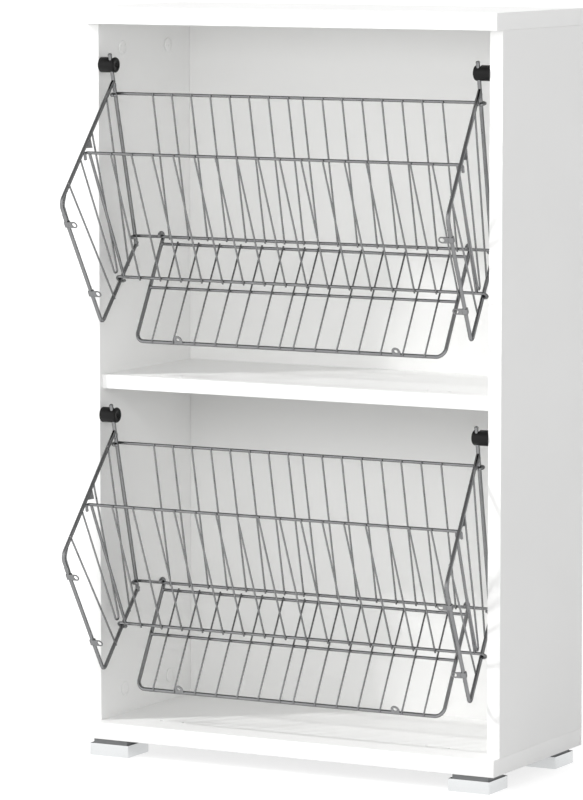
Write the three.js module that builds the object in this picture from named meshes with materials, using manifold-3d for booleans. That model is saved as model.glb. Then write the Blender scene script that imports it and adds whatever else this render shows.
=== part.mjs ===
// A shoe cabinet on four low feet: a white board carcass with two compartments, and in each one
// a wire basket that tilts out on the line where its front flap would be hinged.
// Units are millimetres. x runs across the front, y from front to back and z up. While the
// pieces are made, y = 0 is the front edge of the side panels and z = 0 is the floor.
import * as THREE from 'three';
import { mergeVertices } from 'three/addons/utils/BufferGeometryUtils.js';
import Module from 'manifold-3d';

const wasm = await Module();
wasm.setup();

// ---- Driving dimensions ----
const WIDTH = 600;
const BOARD = 22; // thickness of the top and bottom boards
const PANEL = 18; // thickness of the side panels and the shelf
const OPENING_HEIGHT = 915; // between the top and bottom boards
const SIDE_DEPTH = 245;
const FRONT_OVERHANG = 17; // the top and bottom boards reach this far in front of the sides
const FOOT_HEIGHT = 23;
const GAP = 0.3; // left between pieces that touch

const HALF_WIDTH = WIDTH / 2;
const INNER_HALF = HALF_WIDTH - PANEL;
const BOTTOM_TOP = FOOT_HEIGHT + BOARD;
const TOP_UNDERSIDE = BOTTOM_TOP + OPENING_HEIGHT;
const SHELF_RECESS = 6;
const SHELF_TOP = BOTTOM_TOP + 457;

const BACK_THICKNESS = 3;
const BACK_FACE = 239; // front face of the back panel
const GROOVE_DEPTH = 6;

const CAM_RADIUS = 7.5;
const CAM_DEPTH = 12.5;
const CAM_FROM_END = 33; // from the end of the side panel to the cam's centre
const CAM_PLACES = { front: 61, rear: 180 };
const CAM_SLOT = { half: 4.5, depth: 1 }; // the screwdriver slot
const BOLT_RADIUS = 3.5;
const BOLT_IN_BOARD = 11;
const CAP_RADIUS = 9.5;
const CAP_THICKNESS = 1.2;

const DOWEL_RADIUS = 4;
const DOWEL_HALF_LENGTH = 12;
const DOWEL_PLACES = { front: 45, rear: 200 };

// Pilot holes for the mounting plates of the flaps' cup hinges
const HINGE_X = 195;
const HINGE_HOLE_SPACING = 32;
const HINGE_HOLE_Y = 35;
const HINGE_HOLE_RADIUS = 2.5;
const HINGE_HOLE_DEPTH = 10;

const FOOT = { width: 58, depth: 54, shell: 16.5, wall: 2.5, inset: 8, front: -13, rear: 183 };
const FOOT_BLOCK_INSET = 4;

// Each stop is a plastic roll on the side panel, with a slot that the basket's stem drops into
const STOP = {
  radius: 10, length: 23, y: 7, height: 404.5, edge: 2,
  slotWidth: 6, peg: 2.5, pegLength: 11, dimple: 1.2,
};

const STOUT = 2.5; // radius of the side frames' and the floor grid's outer wires
const RAIL = 2; // radius of the rails
const THIN = 1.25; // radius of the filling wires
const WELD_OVERSHOOT = 3;
const WELD_LAP = 1.02; // the lower wire runs past the stem by this share
const HOOK_STEPS = 5;
// How far the end of a wire turns round the wire that it hangs on
const RAIL_HOOK_TURN = THREE.MathUtils.degToRad(115);
const FLOOR_HOOK_TURN = THREE.MathUtils.degToRad(125);

// Corners of the round sections
const SECTION = { wire: 6, thin: 4, bore: 10, cam: 14 };

// The side frame at its open rest pose: y from the cabinet's front edge, z above the
// compartment's floor. The frame tilts on the flap's hinge line, at y = 8 and z = 32, and its
// front wire, from low to front, is upright when the basket is shut.
const FRAME = {
  top: [8, 384],
  front: [-107, 231],
  low: [-19, 70],
  rear: [57, 169],
  frontBend: 14,
  lowBend: 7,
};
const STEM_TIP_HEIGHT = 419;
// Places along the side frame's upper wire, from top to front, and lower wire, from low to rear,
// as shares of their lengths
const FILLING_WIRES = [{ upper: 0.14, lower: 0.75 }, { upper: 0.85, lower: 0.33 }];
const HAIRPIN = { rear: 0.42, front: 0.64, y: 11, height: 133.8, half: 3.5, corner: 2 };
const GUSSET = { rear: 0.45, front: 0.555, reach: 17 };
const PLATE = 1.5; // thickness of the gussets and the eyes
// Fixing lugs: their shares of the front wire, from low to front, a collar and an eye
const LUG = { places: [0.83, 0.255], collar: [9, 6.5, 9], eye: 4.5, reach: 12, hole: 2.4 };
const FRAME_HALF = 265.3; // half the distance between the side frames at y = 0
const TOE_IN = Math.atan(0.105); // the side frames close in towards the rear
const RAIL_HEIGHTS = { rearTop: 366, frontTop: 296.5, rearLow: 178, frontLow: 125 };
const FLOOR_GRID = {
  half: 223.5, low: [-7, 48], high: [60.7, 171], corner: 12, crossRails: [0.945, 0.52],
};
const FLOOR_TAB = { x: 158, half: 6, rise: 6, hole: 2.4, holeHeight: 6.5 };
const SIDE_BAR_INSET = 7; // from the end of the front grid's rails to its stout end wires
// Filling wires on each side of a grid's middle: how many, and their places across the grid
const REAR_FILLING = { count: 8, first: 10.5, pitch: 28.4 };
const FRONT_FILLING = { count: 8, first: 15.4, pitch: 30.8 };
const FLOOR_FILLING = { count: 7, first: 10, pitch: 31.3 };

// ---- Finishes ----
const finish = (color, roughness, metalness) =>
  new THREE.MeshStandardMaterial({ color, roughness, metalness });
const WHITE_BOARD = () => finish(0xf4f4f2, 0.5, 0);
const CHROME = () => finish(0xb9bcc0, 0.25, 1);
const ZINC = () => finish(0x9a9da1, 0.4, 1);
const BLACK_PLASTIC = () => finish(0x161616, 0.55, 0);
const GREY_PLASTIC = () => finish(0x8d8f90, 0.6, 0);
const WHITE_PLASTIC = () => finish(0xededeb, 0.5, 0);
const BEECH = () => finish(0xc9a476, 0.8, 0);

// ---- Solids ----
function solidOf(geometry) {
  const bare = geometry.clone();
  bare.deleteAttribute('normal');
  bare.deleteAttribute('uv');
  const merged = mergeVertices(bare, 1e-4);
  return new wasm.Manifold(new wasm.Mesh({
    numProp: 3,
    vertProperties: new Float32Array(merged.attributes.position.array),
    triVerts: new Uint32Array(merged.index.array),
  }));
}

function geometryOf(solid) {
  const mesh = solid.getMesh();
  const geometry = new THREE.BufferGeometry();
  const positions = new Float32Array(mesh.vertProperties);
  geometry.setAttribute('position', new THREE.BufferAttribute(positions, 3));
  geometry.setIndex(new THREE.BufferAttribute(new Uint32Array(mesh.triVerts), 1));
  geometry.computeVertexNormals();
  return geometry;
}

const joined = (solids) => solids.reduce((whole, piece) => whole.add(piece));
const cutBy = (solid, cutters) => cutters.reduce((rest, cutter) => rest.subtract(cutter), solid);

function box(low, high) {
  const size = high.map((value, i) => value - low[i]);
  const geometry = new THREE.BoxGeometry(...size);
  geometry.translate(...low.map((value, i) => value + size[i] / 2));
  return solidOf(geometry);
}

// A round rod from one point to another
function rod(from, to, radius, sides = SECTION.bore) {
  const start = new THREE.Vector3(...from);
  const along = new THREE.Vector3(...to).sub(start);
  const geometry = new THREE.CylinderGeometry(radius, radius, along.length(), sides);
  const turn = new THREE.Quaternion().setFromUnitVectors(
    new THREE.Vector3(0, 1, 0), along.clone().normalize());
  geometry.applyQuaternion(turn);
  geometry.translate(...start.addScaledVector(along, 0.5));
  return solidOf(geometry);
}

function mesh(name, solid, material) {
  const part = new THREE.Mesh(geometryOf(solid), material);
  part.name = name;
  return part;
}

// ---- Wires ----
// A path that runs straight from point to point
class BentPath extends THREE.Curve {
  constructor(points) {
    super();
    this.points = points;
  }

  getUtoTmapping(u) {
    return u;
  }

  getPoint(t, target = new THREE.Vector3()) {
    const last = this.points.length - 1;
    const i = Math.min(Math.floor(t * last + 1e-6), last - 1);
    return target.copy(this.points[i]).lerp(this.points[i + 1], t * last - i);
  }

  direction(i) {
    const last = this.points.length - 2;
    const k = Math.min(Math.max(i, 0), last);
    return this.points[k + 1].clone().sub(this.points[k]).normalize();
  }

  getTangent(t, target = new THREE.Vector3()) {
    const i = Math.round(t * (this.points.length - 1));
    return target.copy(this.direction(i - 1)).add(this.direction(i)).normalize();
  }
}

function ring(radius, sides) {
  const corners = Array.from({ length: sides }, (_, i) => {
    const angle = ((i + 0.5) / sides) * 2 * Math.PI;
    return new THREE.Vector2(radius * Math.cos(angle), radius * Math.sin(angle));
  });
  return new THREE.Shape(corners);
}

function wire(points, radius, sides = SECTION.wire) {
  const path = new BentPath(points.map((point) => new THREE.Vector3(...point)));
  return solidOf(new THREE.ExtrudeGeometry(ring(radius, sides), {
    steps: points.length - 1, extrudePath: path, bevelEnabled: false,
  }));
}

// Replaces a corner of a wire by an arc with the given bend radius
function bend(before, corner, after, radius, steps = 3) {
  const at = new THREE.Vector3(...corner);
  const back = new THREE.Vector3(...before).sub(at).normalize();
  const ahead = new THREE.Vector3(...after).sub(at).normalize();
  const half = back.angleTo(ahead) / 2;
  const axis = back.clone().add(ahead).normalize();
  const centre = at.clone().addScaledVector(axis, radius / Math.sin(half));
  const start = at.clone().addScaledVector(back, radius / Math.tan(half)).sub(centre);
  const normal = new THREE.Vector3().crossVectors(back, ahead).normalize();
  return Array.from({ length: steps + 1 }, (_, i) => {
    const angle = -(i / steps) * (Math.PI - 2 * half);
    return start.clone().applyAxisAngle(normal, angle).add(centre).toArray();
  });
}

// ---- Carcass ----
const sides = { left: -1, right: 1 };
const ends = { top: 1, bottom: -1 };

// Calls make(suffix, side, end, place) for each corner joint of the carcass
function eachCam(make) {
  for (const [sideName, side] of Object.entries(sides)) {
    for (const [endName, end] of Object.entries(ends)) {
      for (const [placeName, y] of Object.entries(CAM_PLACES)) {
        make(`${sideName}_${endName}_${placeName}`, side, end, y);
      }
    }
  }
}

const jointPlane = (end) => (end > 0 ? TOP_UNDERSIDE : BOTTOM_TOP);
const camHeight = (end) => jointPlane(end) - end * CAM_FROM_END;
const boltX = (side) => side * (HALF_WIDTH - PANEL / 2);

function backGroove(grow) {
  const x = INNER_HALF + grow;
  return box([-x, BACK_FACE - GAP, BOTTOM_TOP - grow],
    [x, BACK_FACE + BACK_THICKNESS + GAP, TOP_UNDERSIDE + grow]);
}

function endBoard(end) {
  const low = end > 0 ? TOP_UNDERSIDE : FOOT_HEIGHT;
  const board = box([-HALF_WIDTH, -FRONT_OVERHANG, low], [HALF_WIDTH, SIDE_DEPTH, low + BOARD]);
  const holes = [backGroove(GROOVE_DEPTH)];
  eachCam((_, side, camEnd, y) => {
    if (camEnd !== end) return;
    const x = boltX(side);
    const face = jointPlane(end);
    holes.push(rod([x, y, face - end], [x, y, face + end * (BOLT_IN_BOARD + 1)],
      BOLT_RADIUS + GAP));
  });
  if (end < 0) holes.push(...hingeHoles(BOTTOM_TOP));
  return cutBy(board, holes);
}

function hingeHoles(surface) {
  const holes = [];
  for (const side of Object.values(sides)) {
    for (const offset of [-HINGE_HOLE_SPACING / 2, HINGE_HOLE_SPACING / 2]) {
      const x = side * HINGE_X + offset;
      holes.push(rod([x, HINGE_HOLE_Y, surface - HINGE_HOLE_DEPTH], [x, HINGE_HOLE_Y, surface + 1],
        HINGE_HOLE_RADIUS));
    }
  }
  return holes;
}

function sidePanel(side) {
  const [inner, outer] = [side * INNER_HALF, side * HALF_WIDTH].sort((a, b) => a - b);
  const panel = box([inner, 0, BOTTOM_TOP], [outer, SIDE_DEPTH, TOP_UNDERSIDE]);
  const face = side * (INNER_HALF - 1);
  const cuts = [backGroove(GROOVE_DEPTH)];
  eachCam((_, camSide, end, y) => {
    if (camSide !== side) return;
    const z = camHeight(end);
    cuts.push(rod([face, y, z], [side * (INNER_HALF + CAM_DEPTH + GAP), y, z],
      CAM_RADIUS + GAP, SECTION.cam));
    cuts.push(rod([boltX(side), y, jointPlane(end) + end], [boltX(side), y, z],
      BOLT_RADIUS + GAP));
  });
  for (const y of Object.values(DOWEL_PLACES)) {
    const z = SHELF_TOP - PANEL / 2;
    cuts.push(rod([face, y, z], [side * (INNER_HALF + DOWEL_HALF_LENGTH + GAP), y, z],
      DOWEL_RADIUS + GAP));
  }
  for (const floor of [SHELF_TOP, BOTTOM_TOP]) {
    const z = floor + STOP.height;
    cuts.push(rod([face, STOP.y, z], [side * (INNER_HALF + STOP.pegLength + GAP), STOP.y, z],
      STOP.peg + GAP));
  }
  return cutBy(panel, cuts);
}

function shelf() {
  const board = box([-INNER_HALF, SHELF_RECESS, SHELF_TOP - PANEL],
    [INNER_HALF, BACK_FACE - GAP, SHELF_TOP]);
  const holes = hingeHoles(SHELF_TOP);
  for (const side of Object.values(sides)) {
    for (const y of Object.values(DOWEL_PLACES)) {
      const z = SHELF_TOP - PANEL / 2;
      const inside = side * (INNER_HALF - DOWEL_HALF_LENGTH - GAP);
      holes.push(rod([inside, y, z], [side * (INNER_HALF + 1), y, z], DOWEL_RADIUS + GAP));
    }
  }
  return cutBy(board, holes);
}

function backPanel() {
  const reach = GROOVE_DEPTH - GAP;
  return box([-INNER_HALF - reach, BACK_FACE, BOTTOM_TOP - reach],
    [INNER_HALF + reach, BACK_FACE + BACK_THICKNESS, TOP_UNDERSIDE + reach]);
}

function addCams(group) {
  eachCam((suffix, side, end, y) => {
    const z = camHeight(end);
    const face = side * (INNER_HALF + GAP);
    const cam = rod([face, y, z], [side * (INNER_HALF + CAM_DEPTH), y, z], CAM_RADIUS, SECTION.cam);
    const { half, depth } = CAM_SLOT;
    const slot = box([face - depth, y - half, z - depth], [face + depth, y + half, z + depth]);
    group.add(mesh(`cam_lock_${suffix}`, cam.subtract(slot), ZINC()));
    const capFace = side * (INNER_HALF - GAP);
    const cap = rod([capFace, y, z], [capFace - side * CAP_THICKNESS, y, z], CAP_RADIUS, SECTION.cam);
    group.add(mesh(`cam_cap_${suffix}`, cap, WHITE_PLASTIC()));
    const bolt = rod([boltX(side), y, jointPlane(end) + end * BOLT_IN_BOARD],
      [boltX(side), y, z + end * (CAM_RADIUS + 2 * GAP)], BOLT_RADIUS);
    group.add(mesh(`cam_bolt_${suffix}`, bolt, ZINC()));
  });
}

function addDowels(group) {
  for (const [sideName, side] of Object.entries(sides)) {
    for (const [placeName, y] of Object.entries(DOWEL_PLACES)) {
      const z = SHELF_TOP - PANEL / 2;
      const reach = DOWEL_HALF_LENGTH - GAP;
      const dowel = rod([side * (INNER_HALF - reach), y, z], [side * (INNER_HALF + reach), y, z],
        DOWEL_RADIUS);
      group.add(mesh(`shelf_dowel_${sideName}_${placeName}`, dowel, BEECH()));
    }
  }
}

// ---- Feet ----
function addFeet(group) {
  for (const [sideName, side] of Object.entries(sides)) {
    for (const placeName of ['front', 'rear']) {
      const y = FOOT[placeName];
      const near = side * (HALF_WIDTH - FOOT.inset);
      const far = near - side * FOOT.width;
      const [x0, x1] = [Math.min(near, far), Math.max(near, far)];
      const y1 = y + FOOT.depth;
      const wall = FOOT.wall;
      const shell = box([x0, y, 0], [x1, y1, FOOT.shell])
        .subtract(box([x0 + wall, y + wall, wall], [x1 - wall, y1 - wall, FOOT.shell + 1]));
      group.add(mesh(`foot_shell_${sideName}_${placeName}`, shell, CHROME()));
      const inset = FOOT_BLOCK_INSET;
      const block = box([x0 + inset, y + inset, wall + GAP],
        [x1 - inset, y1 - inset, FOOT_HEIGHT - GAP]);
      group.add(mesh(`foot_block_${sideName}_${placeName}`, block, GREY_PLASTIC()));
    }
  }
}

// ---- Stops ----
const stemDirection = new THREE.Vector2(FRAME.top[0] - FRAME.rear[0],
  FRAME.top[1] - FRAME.rear[1]).normalize();
const stemY = (height) =>
  FRAME.top[0] + ((height - FRAME.top[1]) * stemDirection.x) / stemDirection.y;

// A roll with rounded edges, a peg that plugs into the side panel, and a slot open to the rear
// that takes the basket's stem
function stopRoll(side, floor) {
  const { radius, length, edge, y, height, slotWidth, peg, pegLength, dimple } = STOP;
  const z = floor + height;
  const profile = [
    [0, 0], [radius - edge, 0], [radius, edge], [radius, length - edge],
    [radius - edge, length], [0, length],
  ].map(([r, h]) => new THREE.Vector2(r, h));
  const geometry = new THREE.LatheGeometry(profile, SECTION.cam);
  geometry.rotateZ((side * Math.PI) / 2);
  geometry.translate(side * (INNER_HALF - GAP), y, z);
  const end = side * (INNER_HALF - length);
  const slotX = side * frameHalf(stemY(height));
  const slotFront = stemY(height + radius) - STOUT - 2 * GAP;
  const slot = box([slotX - slotWidth / 2, slotFront, z - radius - 1],
    [slotX + slotWidth / 2, y + radius + 1, z + radius + 1]);
  const hollow = rod([end - side, y, z], [end + side * dimple, y, z], peg);
  const stub = rod([side * (INNER_HALF - 2), y, z], [side * (INNER_HALF + pegLength), y, z], peg);
  return cutBy(solidOf(geometry).add(stub), [slot, hollow]);
}

function addStops(group) {
  for (const [sideName, side] of Object.entries(sides)) {
    for (const [levelName, floor] of Object.entries({ upper: SHELF_TOP, lower: BOTTOM_TOP })) {
      group.add(mesh(`stop_${levelName}_${sideName}`, stopRoll(side, floor), BLACK_PLASTIC()));
    }
  }
}

// ---- Baskets, at the open rest pose ----
const along = (from, to, share) => from.map((value, i) => value + (to[i] - value) * share);
// The point at the given height on a straight wire of the side frame
const atHeight = (from, to, z) => along(from, to, (z - from[1]) / (to[1] - from[1]));
const inPlane = ([y, z]) => [0, y, z];

function fillingWire(top, low) {
  const length = Math.hypot(top[0] - low[0], top[1] - low[1]);
  const extra = WELD_OVERSHOOT / length;
  return wire([along(low, top, 1 + extra), along(low, top, -extra)].map(inPlane), THIN, SECTION.thin);
}

// How far the plane of the front wires leans from upright
const frontLean = Math.atan2(FRAME.low[0] - FRAME.front[0], FRAME.front[1] - FRAME.low[1]);

// A flat eye plate against the fronts of the front wires; its outline's x runs across and its y up
function eyePlate(outline, [holeX, holeY], holeRadius) {
  const hole = new THREE.Path();
  hole.absarc(holeX, holeY, holeRadius, 0, 2 * Math.PI, true);
  outline.holes.push(hole);
  const plate = new THREE.ExtrudeGeometry(outline, {
    depth: PLATE, bevelEnabled: false, curveSegments: 4,
  });
  plate.rotateX(Math.PI / 2);
  plate.translate(0, PLATE - STOUT, 0);
  return plate;
}

// A fixing lug: a crimped collar on the front wire with an eye that points to the middle
function lug(share) {
  const [y, z] = along(FRAME.low, FRAME.front, share);
  const outline = new THREE.Shape();
  outline.moveTo(0, -LUG.eye);
  outline.lineTo(LUG.reach, -LUG.eye);
  outline.absarc(LUG.reach, 0, LUG.eye, -Math.PI / 2, Math.PI / 2);
  outline.lineTo(0, LUG.eye);
  const solids = [new THREE.BoxGeometry(...LUG.collar), eyePlate(outline, [LUG.reach, 0], LUG.hole)]
    .map((geometry) => solidOf(geometry.rotateX(frontLean).translate(0, y, z)));
  return joined(solids);
}

// The outline in the plane x = 0, with the eyes of the lugs towards +x
function sideFrame() {
  const { top, front, low, rear } = FRAME;
  const loop = [
    inPlane(top),
    ...bend(inPlane(top), inPlane(front), inPlane(low), FRAME.frontBend),
    ...bend(inPlane(front), inPlane(low), inPlane(rear), FRAME.lowBend, 4),
    inPlane(along(low, rear, WELD_LAP)),
  ];
  const stem = [inPlane([stemY(STEM_TIP_HEIGHT), STEM_TIP_HEIGHT]),
    inPlane(atHeight(top, rear, rear[1] - WELD_OVERSHOOT))];
  const upper = (share) => along(top, front, share);
  const lower = (share) => along(low, rear, share);
  const corner = upper(GUSSET.front);
  const gusset = new THREE.Shape([upper(GUSSET.rear), corner, [corner[0] + GUSSET.reach, corner[1]]]
    .map(([y, z]) => new THREE.Vector2(y, z)));
  const plate = new THREE.ExtrudeGeometry(gusset, { depth: PLATE, bevelEnabled: false });
  // The shape's x and y become y and z
  plate.applyMatrix4(new THREE.Matrix4().set(
    0, 0, 1, -PLATE / 2,
    1, 0, 0, 0,
    0, 1, 0, 0,
    0, 0, 0, 1));
  const { y, height, half, corner: cut } = HAIRPIN;
  const hairpin = [
    upper(HAIRPIN.rear), [y + half, height + 1.5 * cut], [y + half - cut, height],
    [y - half + cut, height], [y - half, height + 1.5 * cut], upper(HAIRPIN.front),
  ];
  return joined([
    wire(loop, STOUT),
    wire(stem, STOUT),
    wire(hairpin.map(inPlane), THIN, SECTION.thin),
    ...FILLING_WIRES.map((ends) => fillingWire(upper(ends.upper), lower(ends.lower))),
    ...LUG.places.map(lug),
    solidOf(plate),
  ]);
}

// Half the distance between the side frames' planes at the depth y
const frameHalf = (y) => FRAME_HALF - Math.sin(TOE_IN) * y;

// A rail with an open hook at each end, round a wire of the side frames
function hookedRail(from, to, height, inward) {
  const [y, z] = atHeight(from, to, height);
  const slope = new THREE.Vector2(to[0] - from[0], to[1] - from[1]).normalize();
  const normal = new THREE.Vector2(slope.y, -slope.x).multiplyScalar(inward);
  const reach = STOUT + RAIL + 2 * GAP;
  const x = frameHalf(y);
  const hook = (side) => Array.from({ length: HOOK_STEPS + 1 }, (_, i) => {
    const angle = (i / HOOK_STEPS) * RAIL_HOOK_TURN;
    const out = reach * Math.cos(angle);
    return [side * (x + reach * Math.sin(angle)), y + normal.x * out, z + normal.y * out];
  });
  return {
    solid: wire([...hook(-1).reverse(), ...hook(1)], RAIL),
    half: x,
    at: [y + normal.x * reach, z + normal.y * reach],
  };
}

// Filling wires between two rails, at x = first, first + pitch, ... on both sides
function filling({ count, first, pitch }, start, end) {
  const wires = [];
  for (const side of Object.values(sides)) {
    for (let i = 0; i < count; i += 1) {
      const x = side * (first + pitch * i);
      wires.push(wire([[x, ...start], [x, ...end]], THIN, SECTION.thin));
    }
  }
  return wires;
}

function rearGrid() {
  const { top, rear } = FRAME;
  const upperRail = hookedRail(rear, top, RAIL_HEIGHTS.rearTop, 1);
  const lowerRail = hookedRail(rear, top, RAIL_HEIGHTS.rearLow, 1);
  return joined([upperRail.solid, lowerRail.solid,
    ...filling(REAR_FILLING, upperRail.at, lowerRail.at)]);
}

function frontGrid() {
  const { top, front, low, rear } = FRAME;
  const upperRail = hookedRail(front, top, RAIL_HEIGHTS.frontTop, 1);
  const lowerRail = hookedRail(low, rear, RAIL_HEIGHTS.frontLow, -1);
  const bars = Object.values(sides).map((side) => wire([
    [side * (upperRail.half - SIDE_BAR_INSET), ...upperRail.at],
    [side * (lowerRail.half - SIDE_BAR_INSET), ...lowerRail.at],
  ], RAIL));
  return joined([upperRail.solid, lowerRail.solid, ...bars,
    ...filling(FRONT_FILLING, upperRail.at, lowerRail.at)]);
}

// An eye plate that stands above the floor grid's front wire
function floorTab(side) {
  const { x, half, rise, hole, holeHeight } = FLOOR_TAB;
  const outline = new THREE.Shape();
  outline.moveTo(half, 0);
  outline.lineTo(half, rise);
  outline.absarc(0, rise, half, 0, Math.PI);
  outline.lineTo(-half, 0);
  return solidOf(eyePlate(outline, [0, holeHeight], hole)
    .rotateX(frontLean)
    .translate(side * x, ...FLOOR_GRID.low));
}

function floorGrid() {
  const { half, low, high, corner } = FLOOR_GRID;
  const { top, rear } = FRAME;
  const rail = hookedRail(rear, top, RAIL_HEIGHTS.rearLow, 1).at;
  const slope = new THREE.Vector2(high[0] - low[0], high[1] - low[1]).normalize();
  const reach = STOUT + RAIL + 2 * GAP;
  // The side wires pass behind the rear grid's lower rail and hook over it
  const hook = Array.from({ length: HOOK_STEPS + 1 }, (_, i) => {
    const angle = (i / HOOK_STEPS) * FLOOR_HOOK_TURN;
    const [out, up] = [reach * Math.cos(angle), reach * Math.sin(angle)];
    return [rail[0] + slope.y * out + slope.x * up, rail[1] - slope.x * out + slope.y * up];
  });
  const sideLow = (side) => [side * half, ...low];
  const sideHigh = (side) => [side * half, ...hook[0]];
  const outer = [
    ...hook.map((point) => [-half, ...point]).reverse(),
    ...bend(sideHigh(-1), sideLow(-1), sideLow(1), corner),
    ...bend(sideLow(-1), sideLow(1), sideHigh(1), corner),
    ...hook.map((point) => [half, ...point]),
  ];
  const crossRails = FLOOR_GRID.crossRails.map((share) => along(low, hook[0], share));
  const crossWires = crossRails.map((point) => wire([[-half, ...point], [half, ...point]], RAIL));
  return joined([wire(outer, STOUT), ...crossWires,
    ...filling(FLOOR_FILLING, crossRails[0], low), floorTab(-1), floorTab(1)]);
}

function basket(level, floor) {
  const group = new THREE.Group();
  group.position.z = floor;
  for (const [sideName, side] of Object.entries(sides)) {
    // The right frame is the left one mirrored, so its lug eyes also point to the middle
    const solid = side < 0 ? sideFrame() : sideFrame().mirror([1, 0, 0]);
    const frame = mesh(`${level}_side_frame_${sideName}`, solid, CHROME());
    frame.position.x = side * FRAME_HALF;
    frame.rotation.z = side * TOE_IN;
    group.add(frame);
  }
  group.add(mesh(`${level}_rear_grid`, rearGrid(), CHROME()));
  group.add(mesh(`${level}_front_grid`, frontGrid(), CHROME()));
  group.add(mesh(`${level}_floor_grid`, floorGrid(), CHROME()));
  return group;
}

// ---- The cabinet ----
const cabinet = new THREE.Group();
cabinet.add(mesh('top_panel', endBoard(1), WHITE_BOARD()));
cabinet.add(mesh('bottom_panel', endBoard(-1), WHITE_BOARD()));
cabinet.add(mesh('side_panel_left', sidePanel(-1), WHITE_BOARD()));
cabinet.add(mesh('side_panel_right', sidePanel(1), WHITE_BOARD()));
cabinet.add(mesh('middle_shelf', shelf(), WHITE_BOARD()));
cabinet.add(mesh('back_panel', backPanel(), WHITE_BOARD()));
addCams(cabinet);
addDowels(cabinet);
addFeet(cabinet);
addStops(cabinet);
cabinet.add(basket('upper', SHELF_TOP));
cabinet.add(basket('lower', BOTTOM_TOP));

// The origin is the middle of the whole cabinet's footprint, baskets open, on the floor
cabinet.updateMatrixWorld(true);
const extent = new THREE.Box3().setFromObject(cabinet, true);
cabinet.position.y = -(extent.min.y + extent.max.y) / 2;

export default cabinet;
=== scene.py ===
"""The looks of a shoe cabinet: a white board carcass on chrome feet, with a wire shoe basket tilted out of
each of its two compartments. The baskets and stops are shaped in millimetres, measured from the front edge
of the side panels and from the floor of their compartment, and are then placed in the frame, which is in
metres. The boards, fittings and feet take their places and sizes from the frame."""
import math

import bmesh
import bpy
from mathutils import Matrix, Vector


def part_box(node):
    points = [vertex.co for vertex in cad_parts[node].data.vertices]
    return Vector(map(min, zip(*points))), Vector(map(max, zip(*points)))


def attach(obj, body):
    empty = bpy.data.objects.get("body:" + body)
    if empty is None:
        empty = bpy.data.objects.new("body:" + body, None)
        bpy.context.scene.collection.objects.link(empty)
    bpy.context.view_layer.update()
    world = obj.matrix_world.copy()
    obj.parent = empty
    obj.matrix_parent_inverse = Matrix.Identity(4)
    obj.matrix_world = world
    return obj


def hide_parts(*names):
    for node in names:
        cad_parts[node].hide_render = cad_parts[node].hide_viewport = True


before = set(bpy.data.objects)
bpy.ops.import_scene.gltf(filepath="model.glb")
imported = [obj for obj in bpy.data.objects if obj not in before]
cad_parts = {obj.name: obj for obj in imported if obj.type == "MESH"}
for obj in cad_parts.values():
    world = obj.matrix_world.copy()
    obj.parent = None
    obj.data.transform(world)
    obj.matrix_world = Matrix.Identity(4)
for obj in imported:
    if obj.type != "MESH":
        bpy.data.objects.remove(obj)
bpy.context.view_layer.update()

MM = 0.001
SIDES = {"left": -1, "right": 1}
LEVELS = ("upper", "lower")
PLACES = ("front", "rear")

# ---- Places that the frame gives, in metres ----
FRONT_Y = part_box("side_panel_left")[0].y
FLOORS = {"upper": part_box("middle_shelf")[1].z, "lower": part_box("bottom_panel")[1].z}
INNER_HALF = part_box("middle_shelf")[1].x / MM


def at_level(level):
    """From millimetres above a compartment's floor to the frame."""
    return Matrix.Translation((0, FRONT_Y, FLOORS[level])) @ Matrix.Scale(MM, 4)


# ---- Wire sizes, in millimetres ----
# Radii, corners and rail heights are the CAD model's. The hooks, the lower bend, the tips of the front
# grid's upper rail and the lugs differ from it, and the thin tail and its sleeve are only here.
STOUT = 2.5
RAIL = 2.0
THIN = 1.25
GAP = 0.3
REACH = STOUT + RAIL + 2 * GAP  # from a side wire's middle to that of a rail hooked on it
SINK = 0.45  # how far a welded wire sinks into the one it crosses
WELD_OVERSHOOT = 3.0

# The side frame's corners, as (y, height above the compartment's floor)
TOP = Vector((8, 384))
FRONT = Vector((-107, 231))
LOW = Vector((-19, 70))
REAR = Vector((57, 169))
STEM_TIP = 419.0
FRAME_HALF = 265.3
TOE_IN = math.atan(0.105)
RAIL_HEIGHTS = {"rear_top": 366.0, "front_top": 296.5, "rear_low": 178.0, "front_low": 125.0}
FLOOR_HALF = 223.5
FLOOR_LOW = Vector((-7, 48))
FLOOR_HIGH = Vector((60.7, 171))
FLOOR_TABS_X = 158.0
FRAME_BENDS = [14, 4.5]
RAIL_HOOK_TURN = 225.0
FLOOR_HOOK_TURN = 198.0
TIP = {"back": 1.5, "drop": 9, "bend": 3.5}  # of the front grid's upper rail, which ends bent down
SIDE_BAR_INSET = 7
FLOOR_BEND = 12
CROSS_RAILS = (0.945, 0.52)  # as shares of the floor grid's slope
REAR_FILLING = {"count": 8, "first": 10.5, "pitch": 28.4}
FRONT_FILLING = {"count": 8, "first": 15.4, "pitch": 30.8}
FLOOR_FILLING = {"count": 7, "first": 10, "pitch": 31.3}

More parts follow.
